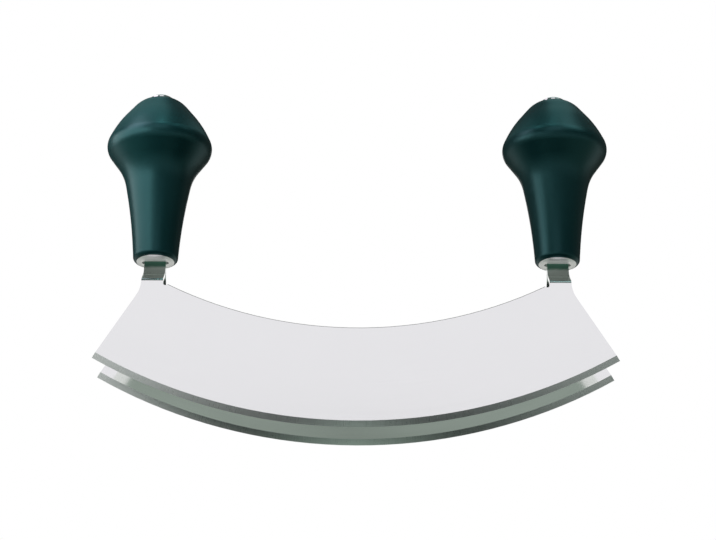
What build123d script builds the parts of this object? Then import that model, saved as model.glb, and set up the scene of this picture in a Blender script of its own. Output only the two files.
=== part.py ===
from build123d import *
import math
import os

# A double-bladed mezzaluna: two curved blades side by side, with an upright knob over each end.
# Millimetres, +Z up. The origin is where the cutting edges are lowest, midway between the blades.
# X runs along the blades and Y across them. The front blade is on the -Y side, left is -X.

# Blades, each one bent sheet
blade_length = 230.0  # from tip to tip
edge_radius = 228.3  # of the curved cutting edge
band_height = 45.7  # from the cutting edge to the top edge
blade_thickness = 1.5
blade_spacing = 25.0  # between the middle planes of the two blades
bevel_height = 2.7
edge_flat = 0.2  # width that the grinding leaves at the edge
top_edge_break = 0.3  # taken off both corners of the top edge

# Tabs at the blade's ends, bent in to the handle's axis and up again
tab_inset = 25.0  # from the blade's tip to the handle's axis
tab_width = 9.6
tab_slope = 34.0  # degrees above level, between the bends
lower_bend_rise = 1.05  # from the top edge beside the tab to the lower bend
lower_bend_radius = 1.2  # inside the bend
upper_bend_radius = 9.0
shoulder_drop = 4.15  # from the lower bend to where the blade's slanted end meets the tab
shoulder_radius = 14.0
relief_radius = 1.1  # notch between the tab and the blade's top edge
ferrule_standoff = 5.4  # from the upper bend to the ferrule
tang_length = 24.0  # from the ferrule's underside to the top of the tab
tang_corner_radius = 1.0

# Ferrule, the slotted disc in the handle's foot
ferrule_radius = 8.45
ferrule_thickness = 3.6
ferrule_proud = 0.4  # how far it stands out of the handle
ferrule_bevel_width = 1.5
ferrule_bevel_height = 0.35
ferrule_fit = 0.05  # round the ferrule, in its recess
slot_end_gap = 1.2  # between the tab's edge and the end of the slot
slot_side_gap = 0.3

# Rivets through the tabs
rivet_radius = 1.5
rivet_head_radius = 2.5
rivet_head_height = 0.8
rivet_pitch = 8.0
rivet_top_margin = 5.0  # from the upper rivet to the top of the tab
rivet_fit = 0.05

# Tang rod, forked at its foot
fork_cheek = 1.8
fork_fit = 0.05  # between each cheek and the tab beside it
fork_root_gap = 0.3
fork_foot_gap = 1.0  # between the fork and the ferrule
collar_radius = 5.8
collar_height = 4.0
rod_radius = 3.0
rod_fit = 0.15
rod_end_gap = 0.4

# Handle
handle_height = 80.4
handle_foot_radius = 9.95
knob_radius = 23.75
foot_rim_radius = 2.0
pocket_fit = 0.15  # round the fork's collar

# Corners of the handle's outline before they are rounded:
# radius as a share of knob_radius, height as a share of handle_height
neck_corner_shares = (0.479, 0.249)
throat_corner_shares = (0.658, 0.525)
knob_corner_shares = (1.046, 0.688)
crown_corner_shares = (0.835, 0.820)
top_corner_shares = (0.350, 1.0)

# Rounding at those corners: the two long curves by the share that they take of the shorter run beside them
neck_curve_share = 0.7368
throat_curve_share = 0.34893
knob_curve_radius = 6.9
crown_curve_radius = 50.0
top_curve_radius = 14.0

# Washer and cap nut in the crown of the handle
crown_recess_depth = 1.6
washer_radius = 6.2
washer_thickness = 1.0
washer_fit = 0.1
cap_radius = 5.8
cap_rim_height = 0.6
cap_dome_height = 2.2
sleeve_radius = 4.2
sleeve_length = 9.0
sleeve_fit = 0.15
sleeve_end_gap = 0.5
cap_hole_depth = 1.2  # of the threaded hole, inside the head

# How far a cutting tool runs past what it cuts
overrun = 2.0


def arc_height(radius, x):
    """Height of a circle round the blade's centre of curvature, x from the middle."""
    return edge_radius - math.sqrt(radius**2 - x**2)


# Places that follow from those sizes
half_length = blade_length / 2
tip_height = arc_height(edge_radius, half_length)
top_edge_radius = edge_radius - band_height
handle_x = half_length - tab_inset
tab_inner_x = handle_x - tab_width / 2
tab_outer_x = handle_x + tab_width / 2

blade_middle_y = blade_spacing / 2
blade_outer_y = blade_middle_y + blade_thickness / 2
blade_inner_y = blade_middle_y - blade_thickness / 2

relief_x = tab_inner_x - relief_radius
relief_angle = math.asin(relief_x / top_edge_radius) - 2 * math.asin(relief_radius / (2 * top_edge_radius))
top_edge_end_x = top_edge_radius * math.sin(relief_angle)

lower_bend_z = arc_height(top_edge_radius, tab_inner_x) + lower_bend_rise
upper_bend_z = lower_bend_z + blade_inner_y * math.tan(math.radians(tab_slope))
ferrule_z = upper_bend_z + ferrule_standoff
tang_top_z = ferrule_z + tang_length
upper_rivet_z = tang_top_z - rivet_top_margin
rivet_heights = (upper_rivet_z, upper_rivet_z - rivet_pitch)

handle_z = ferrule_z + ferrule_proud
ferrule_top_z = ferrule_z + ferrule_thickness
fork_foot_z = ferrule_top_z + fork_foot_gap
collar_z = tang_top_z + fork_root_gap
pocket_top_z = collar_z + collar_height
fork_half_depth = blade_thickness + fork_fit + fork_cheek

handle_top_z = handle_z + handle_height
crown_floor_z = handle_top_z - crown_recess_depth
cap_z = crown_floor_z + washer_thickness
sleeve_z = cap_z - sleeve_length
rod_top_z = cap_z + cap_hole_depth - rod_end_gap


def bar(radius, low_z, high_z):
    """Solid cylinder on the Z axis between two heights."""
    return Pos(0, 0, low_z) * Cylinder(radius, high_z - low_z, align=(Align.CENTER, Align.CENTER, Align.MIN))


def dome(radius, height):
    """Low spherical cap that stands on the XY plane."""
    ball_radius = (radius**2 + height**2) / (2 * height)
    half_angle = math.asin(radius / ball_radius) / 2
    sink = ball_radius - height
    middle = (ball_radius * math.sin(half_angle), ball_radius * math.cos(half_angle) - sink)
    crown = ThreePointArc((radius, 0), middle, (0, height))
    base = Polyline((0, height), (0, 0), (radius, 0))
    return revolve(Plane.XZ * make_face([crown, base]), Axis.Z)


def blade_end(side):
    """Front view of one end of a blade: slanted end, tab and relief notch, in X and Z."""
    relief_z = arc_height(top_edge_radius, relief_x)
    tab = FilletPolyline(
        (side * half_length, tip_height),
        (side * tab_outer_x, lower_bend_z - shoulder_drop),
        (side * tab_outer_x, tang_top_z),
        (side * tab_inner_x, tang_top_z),
        (side * tab_inner_x, relief_z),
        radius=[shoulder_radius, tang_corner_radius, tang_corner_radius],
    )
    notch = ThreePointArc(
        (side * tab_inner_x, relief_z),
        (side * relief_x, relief_z - relief_radius),
        (side * top_edge_end_x, arc_height(top_edge_radius, top_edge_end_x)),
    )
    return tab, notch


def blade_outline():
    """Front view of the whole blade."""
    right_tab, right_notch = blade_end(1)
    left_tab, left_notch = blade_end(-1)
    cutting_edge = ThreePointArc((-half_length, tip_height), (0, 0), (half_length, tip_height))
    top_edge = ThreePointArc(right_notch @ 1, (0, band_height), left_notch @ 1)
    return Plane.XZ * make_face([cutting_edge, right_tab, right_notch, top_edge, left_notch, left_tab])


def bent_section():
    """Side view of the front sheet: plate, lower bend, slope, upper bend and tang."""
    half_turn = math.radians(90 - tab_slope) / 2
    mitre = blade_thickness / 2 * math.tan(half_turn)
    high_z = tang_top_z + overrun
    outside = FilletPolyline(
        (-blade_outer_y, -overrun),
        (-blade_outer_y, lower_bend_z + mitre),
        (-blade_thickness, upper_bend_z + mitre),
        (-blade_thickness, high_z),
        radius=[lower_bend_radius + blade_thickness, upper_bend_radius],
    )
    inside = FilletPolyline(
        (0, high_z),
        (0, upper_bend_z - mitre),
        (-blade_inner_y, lower_bend_z - mitre),
        (-blade_inner_y, -overrun),
        radius=[upper_bend_radius + blade_thickness, lower_bend_radius],
    )
    top = Line(outside @ 1, inside @ 0)
    bottom = Line(inside @ 1, outside @ 0)
    return Plane.YZ * make_face([outside, top, inside, bottom])


def curved_cuts(from_z, to_z, flat, clear_z):
    """Rings that slant both faces of the front blade from one height in to a flat at another."""
    rings = []
    for face in (-1, 1):
        face_y = face * blade_thickness / 2 - blade_middle_y
        flat_y = face * flat / 2 - blade_middle_y
        clear_y = face_y + face * overrun
        corners = Polyline(
            (face_y, from_z),
            (flat_y, to_z),
            (flat_y, clear_z),
            (clear_y, clear_z),
            (clear_y, from_z),
            close=True,
        )
        axis = Axis((0, 0, edge_radius), (0, 1, 0))
        rings.append(revolve(Plane.YZ * make_face(corners), axis))
    return rings


def rivet_holes(radius):
    """Bars through the tabs where the rivets of both handles go."""
    reach = blade_spacing
    holes = []
    for side in (-1, 1):
        for height in rivet_heights:
            place = Pos(side * handle_x, 0, height) * Rot(90, 0, 0)
            holes.append(place * Cylinder(radius, reach))
    return holes


def front_blade():
    """Crescent band with a V edge, and a tab at either end that is bent to the middle plane."""
    sheet = extrude(bent_section(), amount=blade_length, both=True)
    blank = sheet & extrude(blade_outline(), amount=blade_spacing, both=True)
    blade = blank
    for ring in curved_cuts(bevel_height, 0, edge_flat, -overrun):
        blade -= ring
    top_flat = blade_thickness - 2 * top_edge_break
    between_tabs = Box(2 * top_edge_end_x, 2 * blade_spacing, 2 * edge_radius)
    for ring in curved_cuts(band_height - top_edge_break, band_height, top_flat, band_height + overrun):
        blade -= ring & between_tabs
    for hole in rivet_holes(rivet_radius + rivet_fit):
        blade -= hole
    return blade


def ferrule():
    """Disc with a bevelled rim and a slot for the two tabs."""
    outline = Polyline(
        (0, ferrule_z),
        (ferrule_radius - ferrule_bevel_width, ferrule_z),
        (ferrule_radius, ferrule_z + ferrule_bevel_height),
        (ferrule_radius, ferrule_top_z),
        (0, ferrule_top_z),
        close=True,
    )
    disc = revolve(Plane.XZ * make_face(outline), Axis.Z)
    slot_width = 2 * (blade_thickness + slot_side_gap)
    slot_length = tab_width + 2 * slot_end_gap
    slot = Pos(0, 0, ferrule_z - overrun) * SlotOverall(slot_length, slot_width)
    return disc - extrude(slot, amount=ferrule_thickness + 2 * overrun)


def tang_rod():
    """Round rod whose foot is a collar with two flat cheeks, one on each side of the tabs."""
    foot = bar(collar_radius, fork_foot_z, pocket_top_z)
    fork_length = collar_z - fork_foot_z
    fork_middle_z = (collar_z + fork_foot_z) / 2
    wide = 2 * (collar_radius + overrun)
    cheeks = Pos(0, 0, fork_middle_z) * Box(wide, 2 * fork_half_depth, fork_length)
    gap = Pos(0, 0, fork_middle_z) * Box(wide, 2 * (blade_thickness + fork_fit), fork_length)
    fork = (foot & cheeks) - gap
    collar = bar(collar_radius, collar_z, pocket_top_z)
    rod = fork + collar + bar(rod_radius, pocket_top_z, rod_top_z)
    for height in rivet_heights:
        rod -= Pos(0, 0, height) * Rot(90, 0, 0) * Cylinder(rivet_radius + rivet_fit, wide)
    return rod


def tang_rivet(height):
    """Rivet along Y with a low domed head on each cheek of the fork."""
    shank = Cylinder(rivet_radius, 2 * fork_half_depth)
    head = Pos(0, 0, fork_half_depth) * dome(rivet_head_radius, rivet_head_height)
    other_head = Rot(180, 0, 0) * head
    return Pos(0, 0, height) * Rot(90, 0, 0) * (shank + head + other_head)


def handle_corner(shares):
    """Corner of the handle's outline, from its shares of knob radius and handle height."""
    return (shares[0] * knob_radius, handle_z + shares[1] * handle_height)


def curve_radius(before, corner, after, share):
    """Radius of the curve at a corner that takes that share of the shorter run beside it."""
    run_in = Vector(*corner) - Vector(*before)
    run_out = Vector(*after) - Vector(*corner)
    half_turn = math.radians(run_in.get_angle(run_out)) / 2
    return share * min(run_in.length, run_out.length) / math.tan(half_turn)


def handle():
    """Palm knob on a tapered neck, bored for the fork, the rod and the cap nut."""
    foot_corner = (handle_foot_radius, handle_z)
    neck_corner = handle_corner(neck_corner_shares)
    throat_corner = handle_corner(throat_corner_shares)
    knob_corner = handle_corner(knob_corner_shares)
    outer = FilletPolyline(
        (0, handle_z),
        foot_corner,
        neck_corner,
        throat_corner,
        knob_corner,
        handle_corner(crown_corner_shares),
        handle_corner(top_corner_shares),
        (0, handle_top_z),
        radius=[
            foot_rim_radius,
            curve_radius(foot_corner, neck_corner, throat_corner, neck_curve_share),
            curve_radius(neck_corner, throat_corner, knob_corner, throat_curve_share),
            knob_curve_radius,
            crown_curve_radius,
            top_curve_radius,
        ],
    )
    axis_line = Line((0, handle_top_z), (0, handle_z))
    body = revolve(Plane.XZ * make_face([outer, axis_line]), Axis.Z)
    body -= bar(ferrule_radius + ferrule_fit, handle_z - overrun, ferrule_top_z)
    body -= bar(collar_radius + pocket_fit, handle_z - overrun, pocket_top_z)
    body -= bar(rod_radius + rod_fit, pocket_top_z - overrun, handle_top_z)
    body -= bar(sleeve_radius + sleeve_fit, sleeve_z - sleeve_end_gap, handle_top_z)
    body -= bar(washer_radius + washer_fit, crown_floor_z, handle_top_z + overrun)
    return body


def washer():
    """Flat ring under the cap nut's head."""
    ring = bar(washer_radius, crown_floor_z, cap_z)
    return ring - bar(sleeve_radius + sleeve_fit, crown_floor_z - overrun, cap_z + overrun)


def cap_nut():
    """Low domed head on a sleeve, with a blind hole for the rod's end."""
    rim_top_z = cap_z + cap_rim_height
    head = bar(cap_radius, cap_z, rim_top_z) + Pos(0, 0, rim_top_z) * dome(cap_radius, cap_dome_height)
    sleeve = bar(sleeve_radius, sleeve_z, cap_z)
    return head + sleeve - bar(rod_radius + rod_fit, sleeve_z - overrun, cap_z + cap_hole_depth)


parts = {}
parts["front_blade"] = front_blade()
parts["rear_blade"] = mirror(parts["front_blade"], about=Plane.XZ)

for side_name, side in (("left", -1), ("right", 1)):
    place = Pos(side * handle_x, 0, 0)
    parts[side_name + "_ferrule"] = place * ferrule()
    parts[side_name + "_tang_rod"] = place * tang_rod()
    parts[side_name + "_tang_rivets"] = place * Compound(children=[tang_rivet(height) for height in rivet_heights])
    parts[side_name + "_handle"] = place * handle()
    parts[side_name + "_washer"] = place * washer()
    parts[side_name + "_cap_nut"] = place * cap_nut()

os.makedirs("parts", exist_ok=True)
for name, solid in parts.items():
    export_step(solid, f"parts/{name}.step")
    print(name, len(solid.solids()), round(solid.volume, 1))
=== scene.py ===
import math

import bpy
from mathutils import Matrix, Vector


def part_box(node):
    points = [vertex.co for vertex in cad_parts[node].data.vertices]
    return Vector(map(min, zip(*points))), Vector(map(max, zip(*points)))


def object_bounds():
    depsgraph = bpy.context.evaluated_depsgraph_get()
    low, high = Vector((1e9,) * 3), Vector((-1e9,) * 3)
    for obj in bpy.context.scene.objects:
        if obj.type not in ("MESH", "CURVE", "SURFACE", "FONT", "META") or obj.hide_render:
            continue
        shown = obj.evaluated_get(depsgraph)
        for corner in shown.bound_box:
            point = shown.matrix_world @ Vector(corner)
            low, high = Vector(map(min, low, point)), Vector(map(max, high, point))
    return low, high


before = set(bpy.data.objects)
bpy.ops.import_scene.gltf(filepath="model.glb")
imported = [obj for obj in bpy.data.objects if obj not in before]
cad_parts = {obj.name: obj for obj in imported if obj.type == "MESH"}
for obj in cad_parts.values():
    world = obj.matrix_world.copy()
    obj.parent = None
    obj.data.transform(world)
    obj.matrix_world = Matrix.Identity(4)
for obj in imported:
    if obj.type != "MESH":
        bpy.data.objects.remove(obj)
cad_low, cad_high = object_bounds()

# Lengths are in metres. A brightness is linear, and 1 is the picture's white.
# A pair of numbers is either two limits, between which something changes, or its values at the two.

# Places and sizes of the tool that its finish and its light follow
FERRULE_LOW, FERRULE_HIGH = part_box("right_ferrule")
FERRULE_FOOT = FERRULE_LOW.z
HANDLE_AXIS_X = (FERRULE_LOW.x + FERRULE_HIGH.x) / 2
TOOL_REACH = cad_high.x  # from the middle of the tool to its ends
EDGE_RADIUS = 0.2283  # of the curved cutting edges
BEVEL_HEIGHT = 0.0027
TAB_HEIGHT = 0.014  # from the top of a plate to the ferrule

# Finish of the blades
FACE_BRIGHTNESS = (0.79, 0.82)
FACE_TINT = (0.985, 1.0, 0.985)
BEVEL_BRIGHTNESS = (0.70, 0.84)
BEVEL_TINT = (0.98, 1.0, 0.99)
BEVEL_BLUR = 0.00006  # half the width in which the face turns into the bevel
POLISH_LINES = (30.0, 5200.0)  # per metre along the band, and across it
POLISH_ROUGHNESS = (0.05, 0.12)
POLISH_RELIEF_SHARE = 0.06  # of the relief of the bevel's lines
GRIND_LINES = (4200.0, 160.0)
GRIND_ROUGHNESS = (0.22, 0.38)
STREAK_LINES = (20.0, 900.0)
STREAK_BRIGHTNESS = (0.80, 1.20)
LINES_ACROSS_TOOL = 40.0  # per metre, so that the two blades differ
SMUDGE_SCALE = 38.0
SMUDGE_ROUGHNESS = (0.0, 0.03)
BLADE_RELIEF = 0.00001

# Painted reflection of the handles' dark feet at the top of the tabs, under the ferrules
PAINTED_REFLECTION_COLOUR = (0.22, 0.46, 0.36, 1.0)
PAINTED_REFLECTION_HEIGHT = 0.0034
PAINTED_REFLECTION_FULL_SHARE = 0.6  # of its height, from the ferrule down, at full strength
PAINTED_REFLECTION_EDGE = (-0.0006, 0.0006)  # how far noise moves its lower edge
PAINTED_REFLECTION_EDGE_SCALE = 260.0

# Light between the plates: followed for two bounces, and then a dim glow that stands for all the rest
FOLLOWED_BOUNCES = 2
HALF_BOUNCE = 0.5  # between two whole counts
TRAPPED_BRIGHTNESS = (0.36, 0.45)  # at the middle of the blades, and towards their ends
TRAPPED_TINT = (0.87, 1.0, 0.91)
TRAPPED_REACH = 0.07  # from the middle to where it is brightest
TRAPPED_AMONG_TABS = (1.0, 0.42)  # at the plates, and halfway up the tabs

# Finish of the turned steel
FERRULE_BRIGHTNESS = 0.90
FERRULE_ROUGHNESS = (0.34, 0.44)
CAP_BRIGHTNESS = 0.85
CAP_ROUGHNESS = (0.08, 0.16)
HIDDEN_BRIGHTNESS = 0.55
HIDDEN_ROUGHNESS = (0.28, 0.42)
STAIN_SHARE = 0.94  # brightness where it is stained
STAIN_SCALE = 260.0
RINGS_PER_METRE = 6000.0
TURNS_PER_METRE = 3000.0  # of height
TURNING_RELIEF = 0.000006

# Finish of the handles
PLASTIC_DARK = (0.001, 0.027, 0.029, 1.0)
PLASTIC_PALE = (0.002, 0.033, 0.036, 1.0)
PLASTIC_GLOSS = 0.60
PLASTIC_GLOSS_TINT = (0.36, 0.95, 1.0, 1.0)
GRAIN_SCALE = 3800.0
GRAIN_ROUGHNESS = (0.30, 0.36)
CLOUD_SCALE = 90.0
CLOUD_ROUGHNESS = (-0.02, 0.05)
CLOUD_RELIEF_SHARE = 1.5  # of the grain's relief
PLASTIC_RELIEF = 0.000012

# Floor, as the camera sees it
FLOOR_SIZE = 8.0
PAPER_BRIGHTNESS = (0.04, 0.80)  # for the light that it throws back on the tool, and for the camera
FLOOR_GLOW = (0.05, 0.60)  # light of its own under the tool, low there as a painted shadow, and away from it
FLOOR_GLOW_REACH = (0.02, 0.26)  # over which the painted shadow fades, from the line between the tool's ends

# Floor, as the steel and the plastic mirror it, from the front to the back
BAND_Y = -0.95
BAND_REACH = (0.25, 0.38)  # to either side, where the band ends and where the floor is pale again
BAND_BRIGHTNESS = (0.15, 0.66)
NEAR_TINT = (0.98, 1.0, 0.985)
NEAR_Y = (-0.36, -0.20)  # where it gives way to the painted shade round the tool
PAINTED_SHADOW_Y = -0.07  # of the painted shadow spots before the handles
# reach of the painted shadow spots, where they end and where the painted shade round the tool begins
PAINTED_SHADOW_REACH = (0.07, 0.12)
PAINTED_SHADOW_BRIGHTNESS = (0.02, 0.33)  # in a painted shadow spot, and in the painted shade round it
BEHIND_Y = (0.05, 0.16)
BEHIND_BRIGHTNESS = 0.70
BEHIND_TINT = (1.0, 1.0, 0.96)
FAR_Y = (0.45, 0.80)
FAR_BRIGHTNESS = 0.10
ROOM_TINT = (0.78, 1.0, 0.86)

# World, as the steel and the plastic mirror it; Y and Z of a direction say how far ahead and up it is
ROOM_BRIGHTNESS = 0.06  # of the plain light that it throws on the tool, which isn't mirrored
HORIZON_BRIGHTNESS = (0.10, 0.24)  # well above it, and from it down
HORIZON_TINT = (0.90, 1.0, 0.94)
HORIZON_HEIGHT = (0.06, 0.14)
BACKDROP_AHEAD = (0.60, 0.80)
BACKDROP_BRIGHTNESS = (0.05, 1.1)  # round the white strip, and in it
STRIP_RISE = math.radians(20.0)  # at which a ray goes on after it has met both plates near their tips
STRIP_REACH = (0.055, 0.075)
STRIP_AHEAD = (0.89, 0.92)

# Lamps, with their beams in degrees
OPEN_BEAM = 179.0
OVER_BEAM = 120.0
OVER_HEIGHT = 0.40
OVER_TINT = (0.50, 1.0, 1.0)
FRONT_TINT = (1.01, 0.975, 1.03)
LEFT_TINT = (1.0, 0.89, 1.0)
RIGHT_TINT = (0.7, 1.0, 1.0)
PLATES_AIM = Vector((0.0, 0.0, 0.08))
KNOB_HEIGHT = 0.125  # of the places on the handles that the boxes near them aim at

# Camera, as the photograph's own
CAMERA_TARGET = Vector((0.0007, 0.0, 0.07835))
CAMERA_DISTANCE = 1.127
CAMERA_RISE = math.radians(22.45)  # how far it looks up
CAMERA_YAW = math.radians(0.106)
CAMERA_ROLL = math.radians(0.314)
CAMERA_LENS = 126.7  # millimetres, as the sensor's width
SENSOR_WIDTH = 36.0
CLIP_RANGE = (0.05, 50.0)

WHITE = (1.0, 1.0, 1.0)


def connect(tree, value, socket):
    """Links a socket to an input, or sets the input to a plain value."""
    if isinstance(value, bpy.types.NodeSocket):
        tree.links.new(value, socket)
    else:
        socket.default_value = value


def node(tree, kind, inputs=None, **settings):
    """Adds a shader node; an input is a value, or a socket to link."""
    made = tree.nodes.new(kind)
    for name, value in settings.items():
        setattr(made, name, value)
    for name, value in (inputs or {}).items():
        connect(tree, value, made.inputs[name])
    return made


def calc(tree, operation, *values):
    """Math node's result."""
    return node(tree, "ShaderNodeMath", dict(enumerate(values)), operation=operation).outputs[0]


def hypotenuse(tree, first, second):
    """Length over two sides at a right angle."""
    squares = [calc(tree, "POWER", side, 2.0) for side in (first, second)]
    return calc(tree, "SQRT", calc(tree, "ADD", *squares))


def surface_place(tree):
    """Place on the surface; every piece's own frame is the shared one."""
    return node(tree, "ShaderNodeTexCoord").outputs["Object"]


def components(tree, vector):
    """X, Y and Z of a vector."""
    return node(tree, "ShaderNodeSeparateXYZ", {"Vector": vector}).outputs[:]


def combine(tree, x, y, z=0.0):
    """Vector of three components."""
    return node(tree, "ShaderNodeCombineXYZ", {"X": x, "Y": y, "Z": z}).outputs["Vector"]


def noise(tree, vector, scale, detail=2.0):
    """Noise value, about 0.5 on average, over a vector."""
    inputs = {"Vector": vector, "Scale": scale, "Detail": detail}
    return node(tree, "ShaderNodeTexNoise", inputs).outputs["Fac"]


def ramp(tree, value, limits, results=(0.0, 1.0), **settings):
    """First result up to the first limit, second from the second limit on, and a blend between them."""
    names = ("From Min", "From Max", "To Min", "To Max")
    inputs = {"Value": value, **dict(zip(names, (*limits, *results)))}
    return node(tree, "ShaderNodeMapRange", inputs, **settings).outputs["Result"]


def spread(tree, value, results):
    """Value from 0..1 mapped to a range."""
    return ramp(tree, value, (0.0, 1.0), results)


def blend(tree, share, first, second, kind="Color"):
    """First where share is 0, second where it is 1; colours, or numbers if kind is Float."""
    mixer = node(tree, "ShaderNodeMix", data_type="RGBA" if kind == "Color" else "FLOAT")
    sockets = {socket.identifier: socket for socket in mixer.inputs}
    for name, value in (("Factor_Float", share), ("A_" + kind, first), ("B_" + kind, second)):
        connect(tree, value, sockets[name])
    return next(socket for socket in mixer.outputs if socket.identifier == "Result_" + kind)


def grey(value, tint=WHITE):
    """Opaque colour of one brightness."""
    return (value * tint[0], value * tint[1], value * tint[2], 1.0)


def shade(tree, share, brightness, tint=WHITE):
    """Colour that runs over a range of brightness as share runs from 0 to 1."""
    return blend(tree, share, grey(brightness[0], tint), grey(brightness[1], tint))


def new_material(name, **fixed):
    """Principled material; fixed values go on the shader's own sockets."""
    made = bpy.data.materials.new(name)
    made.use_nodes = True
    tree = made.node_tree
    shader = tree.nodes["Principled BSDF"]
    for socket, value in fixed.items():
        shader.inputs[socket.replace("_", " ")].default_value = value
    return made, tree, shader


def bump(tree, shader, height, distance):
    """Relief from a height, distance metres deep."""
    made = node(tree, "ShaderNodeBump", {"Height": height, "Distance": distance})
    tree.links.new(made.outputs["Normal"], shader.inputs["Normal"])


def tab_painted_reflection(tree, place, depth):
    """One on the painted reflection at the top of the tabs, where they are seen directly, and zero
    elsewhere.
    """
    z = components(tree, place)[2]
    uneven = calc(tree, "ADD", z, spread(tree, noise(tree, place, PAINTED_REFLECTION_EDGE_SCALE), PAINTED_REFLECTION_EDGE))
    limits = (FERRULE_FOOT - PAINTED_REFLECTION_HEIGHT, FERRULE_FOOT - PAINTED_REFLECTION_HEIGHT * PAINTED_REFLECTION_FULL_SHARE)
    seen = calc(tree, "LESS_THAN", depth, HALF_BOUNCE)
    return calc(tree, "MULTIPLY", seen, ramp(tree, uneven, limits))


def trapped_light(tree, place):
    """Brightness of the light deep between the plates, and among the tabs."""
    x, _, z = components(tree, place)
    between_plates = ramp(tree, calc(tree, "ABSOLUTE", x), (0.0, TRAPPED_REACH), TRAPPED_BRIGHTNESS)
    tab_limits = (FERRULE_FOOT - TAB_HEIGHT, FERRULE_FOOT - TAB_HEIGHT / 2)
    return calc(tree, "MULTIPLY", between_plates, ramp(tree, z, tab_limits, TRAPPED_AMONG_TABS))


def blade_steel():
    """Polished sheet with faint lines along the band, and a bevel ground across its edge."""
    made, tree, shader = new_material("blade_steel", Metallic=1.0, Emission_Color=grey(1.0, TRAPPED_TINT))
    place = surface_place(tree)
    x, y, z = components(tree, place)
    below_centre = calc(tree, "SUBTRACT", EDGE_RADIUS, z)
    radius = hypotenuse(tree, x, below_centre)
    along = calc(tree, "MULTIPLY", calc(tree, "ARCTAN2", x, below_centre), EDGE_RADIUS)
    depth = node(tree, "ShaderNodeLightPath").outputs["Glossy Depth"]

    def lines(per_metre):
        """Noise drawn out along or across the band."""
        stretched_x = calc(tree, "MULTIPLY", along, per_metre[0])
        stretched_y = calc(tree, "MULTIPLY", radius, per_metre[1])
        stretched_z = calc(tree, "MULTIPLY", y, LINES_ACROSS_TOOL)
        return noise(tree, combine(tree, stretched_x, stretched_y, stretched_z), 1.0, detail=3.0)

    bevel_start = EDGE_RADIUS - BEVEL_HEIGHT
    bevel_limits = (bevel_start - BEVEL_BLUR, bevel_start + BEVEL_BLUR)
    bevel = ramp(tree, radius, bevel_limits, interpolation_type="SMOOTHSTEP")
    polish = lines(POLISH_LINES)
    grind = lines(GRIND_LINES)
    smudge = noise(tree, place, SMUDGE_SCALE, detail=3.0)

    face_colour = shade(tree, smudge, FACE_BRIGHTNESS, FACE_TINT)
    bevel_colour = shade(tree, grind, BEVEL_BRIGHTNESS, BEVEL_TINT)
    steel = blend(tree, bevel, face_colour, bevel_colour)
    # painted reflection of the handles' dark feet on the tops of the tabs, seen directly only
    steel = blend(tree, tab_painted_reflection(tree, place, depth), steel, PAINTED_REFLECTION_COLOUR)
    lost = calc(tree, "GREATER_THAN", depth, FOLLOWED_BOUNCES - HALF_BOUNCE)
    connect(tree, blend(tree, lost, steel, grey(0.0)), shader.inputs["Base Color"])

    polish_roughness = spread(tree, polish, POLISH_ROUGHNESS)
    face_roughness = calc(tree, "ADD", polish_roughness, spread(tree, smudge, SMUDGE_ROUGHNESS))
    roughness = blend(tree, bevel, face_roughness, spread(tree, grind, GRIND_ROUGHNESS), "Float")
    connect(tree, roughness, shader.inputs["Roughness"])
    relief = blend(tree, bevel, calc(tree, "MULTIPLY", polish, POLISH_RELIEF_SHARE), grind, "Float")
    bump(tree, shader, relief, BLADE_RELIEF)

    streaks = calc(tree, "MULTIPLY", lost, spread(tree, lines(STREAK_LINES), STREAK_BRIGHTNESS))
    glow = calc(tree, "MULTIPLY", streaks, trapped_light(tree, place))
    connect(tree, glow, shader.inputs["Emission Strength"])
    return made


def turned_steel(name, brightness, roughness):
    """Steel with fine turning lines round the nearest of the handles' axes."""
    made, tree, shader = new_material(name, Metallic=1.0)
    place = surface_place(tree)
    x, y, z = components(tree, place)
    offset = calc(tree, "SUBTRACT", calc(tree, "ABSOLUTE", x), HANDLE_AXIS_X)
    rings = calc(tree, "MULTIPLY", hypotenuse(tree, offset, y), RINGS_PER_METRE)
    turns = calc(tree, "MULTIPLY", z, TURNS_PER_METRE)
    turning = noise(tree, combine(tree, rings, turns), 1.0)
    stain = noise(tree, place, STAIN_SCALE, detail=3.0)
    connect(tree, shade(tree, stain, (brightness * STAIN_SHARE, brightness)), shader.inputs["Base Color"])
    connect(tree, spread(tree, turning, roughness), shader.inputs["Roughness"])
    bump(tree, shader, turning, TURNING_RELIEF)
    return made


def handle_plastic():
    """Satin moulded plastic, very dark green-blue, with a fine grain and a tinted gloss."""
    gloss = {"Specular_IOR_Level": PLASTIC_GLOSS, "Specular_Tint": PLASTIC_GLOSS_TINT}
    made, tree, shader = new_material("handle_plastic", **gloss)
    place = surface_place(tree)
    grain = noise(tree, place, GRAIN_SCALE)
    cloud = noise(tree, place, CLOUD_SCALE, detail=4.0)
    connect(tree, blend(tree, cloud, PLASTIC_DARK, PLASTIC_PALE), shader.inputs["Base Color"])
    grain_roughness = spread(tree, grain, GRAIN_ROUGHNESS)
    roughness = calc(tree, "ADD", grain_roughness, spread(tree, cloud, CLOUD_ROUGHNESS))
    connect(tree, roughness, shader.inputs["Roughness"])
    relief = calc(tree, "ADD", grain, calc(tree, "MULTIPLY", cloud, CLOUD_RELIEF_SHARE))
    bump(tree, shader, relief, PLASTIC_RELIEF)
    return made


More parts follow.
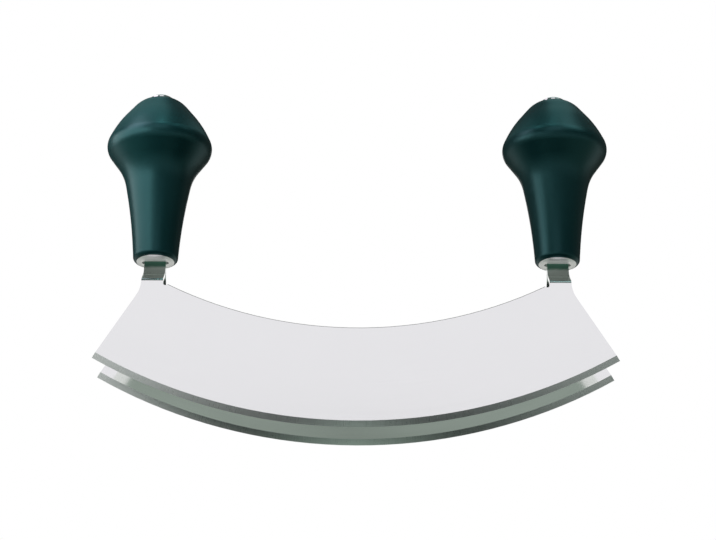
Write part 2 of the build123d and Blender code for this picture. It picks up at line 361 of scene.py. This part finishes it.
def dress_frame():
    """Gives each CAD node its finish."""
    ferrule = turned_steel("ferrule_steel", FERRULE_BRIGHTNESS, FERRULE_ROUGHNESS)
    cap = turned_steel("cap_steel", CAP_BRIGHTNESS, CAP_ROUGHNESS)
    hidden = turned_steel("hidden_steel", HIDDEN_BRIGHTNESS, HIDDEN_ROUGHNESS)
    finishes = {
        "blade": blade_steel(),
        "handle": handle_plastic(),
        "ferrule": ferrule,
        "cap_nut": cap,
        "washer": hidden,
        "tang_rod": hidden,
        "tang_rivets": hidden,
    }
    for name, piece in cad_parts.items():
        finish = finishes[name.split("_", 1)[1]]
        piece.data.materials.clear()
        piece.data.materials.append(finish)


def shown_rays(tree, rays):
    """One for camera, glossy and transmission rays, which see the background, and zero for the rest."""
    glossy = calc(tree, "MAXIMUM", rays.outputs["Is Glossy Ray"], rays.outputs["Is Transmission Ray"])
    return calc(tree, "MAXIMUM", rays.outputs["Is Camera Ray"], glossy)


def mirrored_floor(tree, x, y):
    """What the tool's surfaces mirror of the floor, from a band in front to the far end behind, with
    painted shadow spots before the handles and painted shade round the tool.
    """
    sideways = calc(tree, "SUBTRACT", calc(tree, "ABSOLUTE", x), HANDLE_AXIS_X)
    forward = calc(tree, "SUBTRACT", y, PAINTED_SHADOW_Y)
    # painted shadow spots before the handles, in painted shade round the tool
    clear_of_shadow_spot = ramp(tree, hypotenuse(tree, sideways, forward), PAINTED_SHADOW_REACH)
    painted_shade_round_tool = shade(tree, clear_of_shadow_spot, PAINTED_SHADOW_BRIGHTNESS, ROOM_TINT)
    from_band = calc(tree, "ABSOLUTE", calc(tree, "SUBTRACT", y, BAND_Y))
    in_front = shade(tree, ramp(tree, from_band, BAND_REACH), BAND_BRIGHTNESS, NEAR_TINT)
    dim = blend(tree, ramp(tree, y, NEAR_Y), in_front, painted_shade_round_tool)
    near_pale = grey(BEHIND_BRIGHTNESS, BEHIND_TINT)
    pale = blend(tree, ramp(tree, y, FAR_Y), near_pale, grey(FAR_BRIGHTNESS, ROOM_TINT))
    return blend(tree, ramp(tree, y, BEHIND_Y), dim, pale)


def make_floor():
    """Pale floor with a soft painted shadow towards the tool, and that the camera sees through from
    below.
    """
    bpy.ops.mesh.primitive_plane_add(size=FLOOR_SIZE)
    floor = bpy.context.object
    floor.name = "floor"
    made = bpy.data.materials.new("floor_paper")
    made.use_nodes = True
    tree = made.node_tree
    tree.nodes.clear()
    rays = node(tree, "ShaderNodeLightPath")
    to_camera = rays.outputs["Is Camera Ray"]
    x, y, _ = components(tree, surface_place(tree))

    paper = node(tree, "ShaderNodeBsdfDiffuse", {"Color": shade(tree, to_camera, PAPER_BRIGHTNESS)})
    past_tips = calc(tree, "SUBTRACT", calc(tree, "ABSOLUTE", x), TOOL_REACH)
    away = hypotenuse(tree, calc(tree, "MAXIMUM", past_tips, 0.0), y)
    # painted soft shadow: the floor's own glow drops towards the tool for the camera
    glow_with_painted_shadow = ramp(tree, away, FLOOR_GLOW_REACH, FLOOR_GLOW, interpolation_type="SMOOTHSTEP")
    strength = blend(tree, to_camera, 1.0, glow_with_painted_shadow, "Float")
    light = blend(tree, to_camera, mirrored_floor(tree, x, y), grey(1.0))
    strength = calc(tree, "MULTIPLY", shown_rays(tree, rays), strength)
    glow = node(tree, "ShaderNodeEmission", {"Color": light, "Strength": strength})
    lit = node(tree, "ShaderNodeAddShader", {0: paper.outputs[0], 1: glow.outputs[0]})

    clear = node(tree, "ShaderNodeBsdfTransparent")
    under = node(tree, "ShaderNodeNewGeometry").outputs["Backfacing"]
    hidden = calc(tree, "MULTIPLY", under, to_camera)
    mixed = node(tree, "ShaderNodeMixShader", {0: hidden, 1: lit.outputs[0], 2: clear.outputs[0]})
    node(tree, "ShaderNodeOutputMaterial", {"Surface": mixed.outputs[0]})
    floor.data.materials.append(made)


def make_world():
    """White for the camera; mirrored, it is a dim room with a white strip on the backdrop ahead."""
    world = bpy.data.worlds.new("studio")
    bpy.context.scene.world = world
    world.use_nodes = True
    tree = world.node_tree
    tree.nodes.clear()
    rays = node(tree, "ShaderNodeLightPath")
    _, ahead, up = components(tree, node(tree, "ShaderNodeTexCoord").outputs["Generated"])

    at_horizon = ramp(tree, up, HORIZON_HEIGHT, (1.0, 0.0))
    room = shade(tree, at_horizon, HORIZON_BRIGHTNESS, HORIZON_TINT)
    from_strip = calc(tree, "ABSOLUTE", calc(tree, "SUBTRACT", up, math.sin(STRIP_RISE)))
    in_strip = calc(tree, "SUBTRACT", 1.0, ramp(tree, from_strip, STRIP_REACH))
    strip = calc(tree, "MULTIPLY", ramp(tree, ahead, STRIP_AHEAD), in_strip)
    around_strip, strip_brightness = BACKDROP_BRIGHTNESS
    backdrop = blend(tree, strip, grey(around_strip, ROOM_TINT), grey(strip_brightness))
    behind_tool = ramp(tree, ahead, BACKDROP_AHEAD, interpolation_type="SMOOTHSTEP")
    mirrored = blend(tree, behind_tool, room, backdrop)

    unseen = blend(tree, shown_rays(tree, rays), grey(ROOM_BRIGHTNESS, ROOM_TINT), mirrored)
    colour = blend(tree, rays.outputs["Is Camera Ray"], unseen, grey(1.0))
    sky = node(tree, "ShaderNodeBackground", {"Color": colour, "Strength": 1.0})
    node(tree, "ShaderNodeOutputWorld", {"Surface": sky.outputs[0]})


def softbox(name, centre, aim, size, radiance, beam=OPEN_BEAM, tint=WHITE):
    """Rectangular lamp of a given size and radiance, turned towards a point."""
    width, height = size
    lamp = bpy.data.lights.new(name, "AREA")
    lamp.color = tint
    lamp.shape = "RECTANGLE"
    lamp.size = width
    lamp.size_y = height
    half = math.radians(beam) / 2
    gathered = 1.0 - half / math.tan(half)  # a narrower beam needs less power for the same brightness
    lamp.energy = radiance * math.pi * width * height * gathered
    lamp.spread = 2 * half
    made = bpy.data.objects.new(name, lamp)
    bpy.context.scene.collection.objects.link(made)
    made.location = centre
    made.rotation_mode = "QUATERNION"
    made.rotation_quaternion = (Vector(aim) - Vector(centre)).to_track_quat("-Z", "Y")
    made.visible_camera = False


def around(point, azimuth, rise, distance):
    """Place at a distance from a point; azimuth from the front, left negative, and rise in degrees."""
    turn, tilt = math.radians(azimuth), math.radians(rise)
    level = Vector((math.sin(turn), -math.cos(turn), 0.0))
    return point + distance * (level * math.cos(tilt) + Vector((0.0, 0.0, math.sin(tilt))))


def box_over(name, x, y, size, radiance):
    """Lamp that shines straight down on the handles' crowns and the tabs' slopes."""
    centre = Vector((x, y, OVER_HEIGHT))
    below = Vector((x, y, 0.0))
    softbox(name, centre, below, size, radiance, beam=OVER_BEAM, tint=OVER_TINT)


def make_lights():
    """Two boxes for the plates, a key box on the left, one box near each handle, and five over them."""
    left = Vector((-HANDLE_AXIS_X, 0.0, KNOB_HEIGHT))
    right = Vector((HANDLE_AXIS_X, 0.0, KNOB_HEIGHT))
    front = (0.0, -1.45, 0.90)
    low_left = around(PLATES_AIM, azimuth=-27.0, rise=3.0, distance=1.20)
    key = (-0.193, -0.083, 0.152)
    near_left = around(left, azimuth=-53.0, rise=45.0, distance=0.24)
    near_right = around(right, azimuth=42.0, rise=52.0, distance=0.22)
    softbox("front_box", front, PLATES_AIM, size=(0.95, 0.90), radiance=0.90, tint=FRONT_TINT)
    softbox("low_left_box", low_left, PLATES_AIM, size=(0.70, 0.24), radiance=0.9)
    softbox("key_box", key, right, size=(0.265, 0.085), radiance=2.3)
    softbox("left_front_box", near_left, left, size=(0.16, 0.17), radiance=3.9, beam=80.0, tint=LEFT_TINT)
    softbox("right_front_box", near_right, right, (0.13, 0.18), radiance=2.2, beam=60.0, tint=RIGHT_TINT)
    box_over("top_left_box", x=-0.185, y=0.19, size=(0.20, 0.28), radiance=0.55)
    box_over("over_left_box", x=-0.155, y=-0.015, size=(0.22, 0.13), radiance=0.75)
    box_over("crown_left_box", x=-0.068, y=-0.150, size=(0.075, 0.10), radiance=4.2)
    box_over("top_right_box", x=0.130, y=0.10, size=(0.13, 0.34), radiance=0.65)
    box_over("crown_right_box", x=0.068, y=-0.150, size=(0.075, 0.10), radiance=2.8)


def make_camera():
    """Camera that looks up at the tool from in front, with the photograph's perspective."""
    level_forward = Vector((math.sin(CAMERA_YAW), math.cos(CAMERA_YAW), 0.0))
    forward = level_forward * math.cos(CAMERA_RISE) + Vector((0.0, 0.0, math.sin(CAMERA_RISE)))
    level = Vector((math.cos(CAMERA_YAW), -math.sin(CAMERA_YAW), 0.0))
    upright = level.cross(forward)
    right = level * math.cos(CAMERA_ROLL) + upright * math.sin(CAMERA_ROLL)
    up = upright * math.cos(CAMERA_ROLL) - level * math.sin(CAMERA_ROLL)
    data = bpy.data.cameras.new("camera")
    data.sensor_width = SENSOR_WIDTH
    data.lens = CAMERA_LENS
    data.clip_start, data.clip_end = CLIP_RANGE
    camera = bpy.data.objects.new("camera", data)
    bpy.context.scene.collection.objects.link(camera)
    turn = Matrix((right, up, -forward)).transposed().to_4x4()
    camera.matrix_world = Matrix.Translation(CAMERA_TARGET - forward * CAMERA_DISTANCE) @ turn
    bpy.context.scene.camera = camera


dress_frame()
make_floor()
make_world()
make_lights()
make_camera()
bpy.context.scene.view_settings.view_transform = "Standard"
